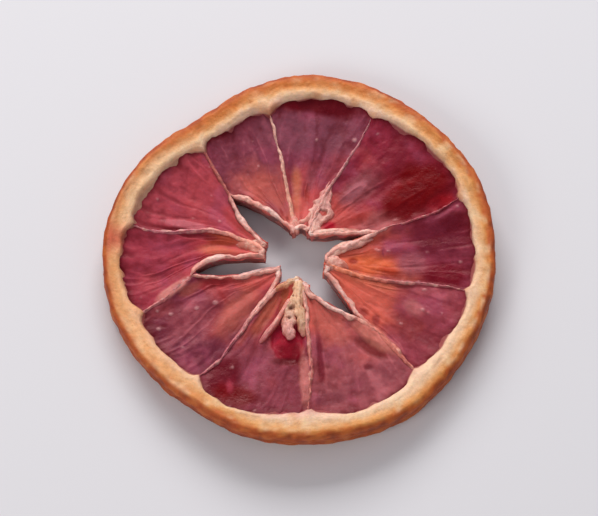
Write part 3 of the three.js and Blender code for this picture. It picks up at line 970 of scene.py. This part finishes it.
# The paths run outwards from the hole, with a half width for each point. lift is how far the tip that it
# lies on curls up, rise is how high it stands, dish is how far its middle sinks between raised borders, and
# a hole has a place and a radius.
Shred = namedtuple("Shred", "name slot lift path widths rise tones dish holes", defaults=(0, ()))
SHREDS = (
    Shred(
        "pith_tooth_1", "rind", 0.3,
        path=((-0.2, -3.8), (-0.15, -6.0), (-0.1, -8.2), (0.3, -10.2), (0.9, -13.8)),
        widths=(1.15, 1.15, 1.2, 0.95, 0.35), rise=0.65, tones=("#f2c09a", "#cf9c7a"),
        holes=((-1.1, -8.7, 0.4), (-0.9, -6.9, 0.2)),
    ),
    Shred(
        "pith_tooth_2", "rind", 0.3,
        path=((-0.9, -6.9), (-1.5, -9.2), (-1.6, -11.4), (-1.5, -14.3)),
        widths=(0.4, 0.95, 0.95, 0.65), rise=0.6, tones=("#d4a082", "#fab2aa"),
        holes=((-1.25, -8.9, 0.45), (-1.5, -10.6, 0.3)),
    ),
    Shred(
        "pith_arch", "rind", 0.3,
        path=((-3.9, -5.9), (-2.7, -5.1), (-1.3, -4.4), (0.7, -4.2)),
        widths=(0.35, 0.5, 0.6, 0.5), rise=0.6, tones=("#e09c74", "#f8d8b6"),
    ),
    Shred(
        "fold_1", "wall", 0.3,
        path=((-1.4, -7.0), (-2.3, -9.0), (-3.5, -11.0), (-5.0, -13.1), (-6.4, -14.8)),
        widths=(0.3, 0.5, 0.5, 0.6, 0.35), rise=0.65, tones=("#f8a498", "#cc7276"),
    ),
    Shred(
        "pith_patch", "rind", 0.5,
        path=((2.1, 3.3), (2.3, 5.2), (3.2, 6.8), (3.8, 8.4), (4.3, 10.2), (4.9, 12.0), (5.4, 13.5)),
        widths=(0.9, 0.9, 1.5, 1.6, 1.1, 0.6, 0.3), rise=0.35, tones=("#f0b0a4", "#dc8e8a"), dish=0.2,
        holes=((3.9, 7.5, 0.55),),
    ),
    Shred(
        "upper_lip", "wall", 0.5,
        path=((1.7, 3.9), (4.0, 4.05), (7.0, 4.3), (10.0, 4.5)),
        widths=(0.6, 0.65, 0.6, 0.3), rise=0.3, tones=("#f0b2a6", "#d88c80"),
    ),
    Shred(
        "notch_lip", "wall", 0.5,
        path=((-0.7, 5.0), (0.1, 5.8), (1.1, 6.0), (1.9, 7.0), (2.6, 8.8)),
        widths=(0.5, 0.5, 0.5, 0.5, 0.25), rise=0.25, tones=("#e8968a", "#e0988c"),
    ),
    Shred(
        "lobe_pad_1", "wall", 0.9,
        path=((-5.2, 1.5), (-7.0, 1.7), (-8.6, 1.9), (-10.5, 2.2)),
        widths=(1.4, 1.2, 0.9, 0.25), rise=0.4, tones=("#dc9482", "#bc6254"),
    ),
    Shred(
        "lobe_pad_2", "wall", 0.5,
        path=((-0.6, 3.6), (-0.65, 5.2), (-0.95, 7.6)),
        widths=(0.7, 0.95, 0.25), rise=0.45, tones=("#ec9a8e", "#dc8074"),
    ),
    Shred(
        "lobe_pad_3", "wall", 0.6,
        path=((4.25, -1.1), (5.4, -1.2), (6.6, -1.5), (8.2, -2.1)),
        widths=(1.7, 1.5, 1.0, 0.3), rise=0.4, tones=("#e8a698", "#cc7060"),
    ),
    Shred(
        "broad_lip", "wall", 0.6,
        path=((4.7, 0.0), (6.2, 1.0), (8.0, 1.8), (10.0, 2.5), (12.2, 3.2)),
        widths=(0.7, 0.9, 0.85, 0.7, 0.3), rise=0.25, tones=("#f0b4a4", "#dc9c92"),
    ),
    Shred(
        "lower_lip", "wall", -0.3,
        path=((-3.2, -1.9), (-5.5, -2.3), (-8.5, -3.1), (-11.5, -3.8)),
        widths=(0.5, 0.5, 0.5, 0.2), rise=0.35, tones=("#e8b8b8", "#d89c9c"),
    ),
)


def along_path(path, widths, share):
    """Places, as x + iy, the direction of travel, and the half width, at shares along a rounded-off path."""
    points = np.array([complex(*point) for point in path])
    marks = np.concatenate([[0], np.cumsum(np.abs(np.diff(points)))])
    marks = marks / marks[-1]
    even = np.linspace(0, 1, PATH_POINTS)
    line = averaged(np.interp(even, marks, points), CORNER_ROUNDING)
    half = averaged(np.interp(even, marks, widths), CORNER_ROUNDING)
    run = np.gradient(line)
    run = run / np.abs(run)
    return [np.interp(share, even, values) for values in (line, run, half)]


for shred in SHREDS:
    piece, across, along, face = thick_sheet(shred.name, SHRED_COLUMNS, SHRED_STEPS)
    side = 1 - 2 * across
    centre, run, half = along_path(shred.path, shred.widths, along)
    seed = 3.7 * len(shred.name) + centre[0].real
    # Pith is rougher on its face than skin is, and more ragged along its edges.
    coarse = 0.7 if shred.slot == "rind" else 0.35
    ragged = 0.75 if shred.slot == "rind" else 0.22
    frayed = 1 + ragged * sampled(noise.fractal, along * 4, np.sign(side) * 3, seed, 0.8, 2.0, 3)
    ends = (1 - np.abs(2 * along - 1) ** 8) ** 0.5
    spot = centre + 1j * run * side * half * frayed * (0.1 + 0.9 * ends)
    x = spot.real
    y = spot.imag
    strand = side * 2.2 * half + 0.5 * np.sin(7 * along)
    fibres = sampled(noise.fractal, strand, along * 3.5, seed + 5, 0.7, 2.2, 4)
    sponge = sampled(noise.fractal, x * 1.4, y * 1.4, seed, 0.8, 2.0, 3)
    # Small holes in the pith, a domed top that falls away at the outer end, and a sunk middle
    hollow = np.zeros(len(x))
    for hole_x, hole_y, radius in shred.holes:
        away = np.abs(spot - complex(hole_x, hole_y)) / radius + 0.5 * sponge
        hollow = hollow + np.exp(-np.maximum(away, 0) ** 3)
    domed = (1 - np.abs(side) ** 2.5) ** 0.5 * ends * smooth(1 - along, -0.12, 0.38)
    sunk = (1 - smooth(np.abs(side) + 0.2 * fibres, 0.25, 0.75)) * smooth(along, 0.1, 0.3)
    stands = shred.rise + SHRED_ROOT + coarse * (0.16 * fibres + 0.14 * sponge)
    top = PULP_HALF_HEIGHT - SHRED_ROOT + stands * domed
    top = top - HOLE_DEPTH * hollow - shred.dish * sunk
    curled = shred.lift * np.clip((CURL_START - np.abs(spot)) / CURL_LENGTH, 0, 1) ** 2
    z = mid_plane(x, y) + curled + np.where(face > 0, top, PULP_HALF_HEIGHT - SHRED_DEPTH)
    put_vertices(piece, x, y, z)
    # Darker between its fibres, paler on them, brown in its holes and red along its edges and outer end
    start, end = [np.array(linear(colour)) for colour in shred.tones]
    tone = lerp(start, end, smooth(along, 0.2, 0.9)[:, None])
    tone = stained(tone, "#b06450", 0.45 * smooth(-fibres - 0.5 * sponge, 0, 0.4))
    tone = stained(tone, "#f6ceb8", 0.35 * smooth(fibres + 0.5 * sponge, 0.1, 0.5))
    tone = stained(tone, "#a87470", min(1.6 * shred.dish, 1) * sunk)
    tone = stained(tone, "#6a2a20", 0.85 * np.minimum(hollow, 1))
    tone = stained(tone, "#b8484c", 0.5 * smooth(np.abs(side) - 0.3 * fibres, 0.7, 1.1))
    tone = stained(tone, "#b4545c", 0.65 * smooth(along + 0.15 * fibres, 0.82, 1.02))
    paint(piece, "tone", tone)
    piece.data.materials.append(pith_and_peel if shred.slot == "rind" else papery_skin)
    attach(piece, "root")
    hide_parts("dried_slice")
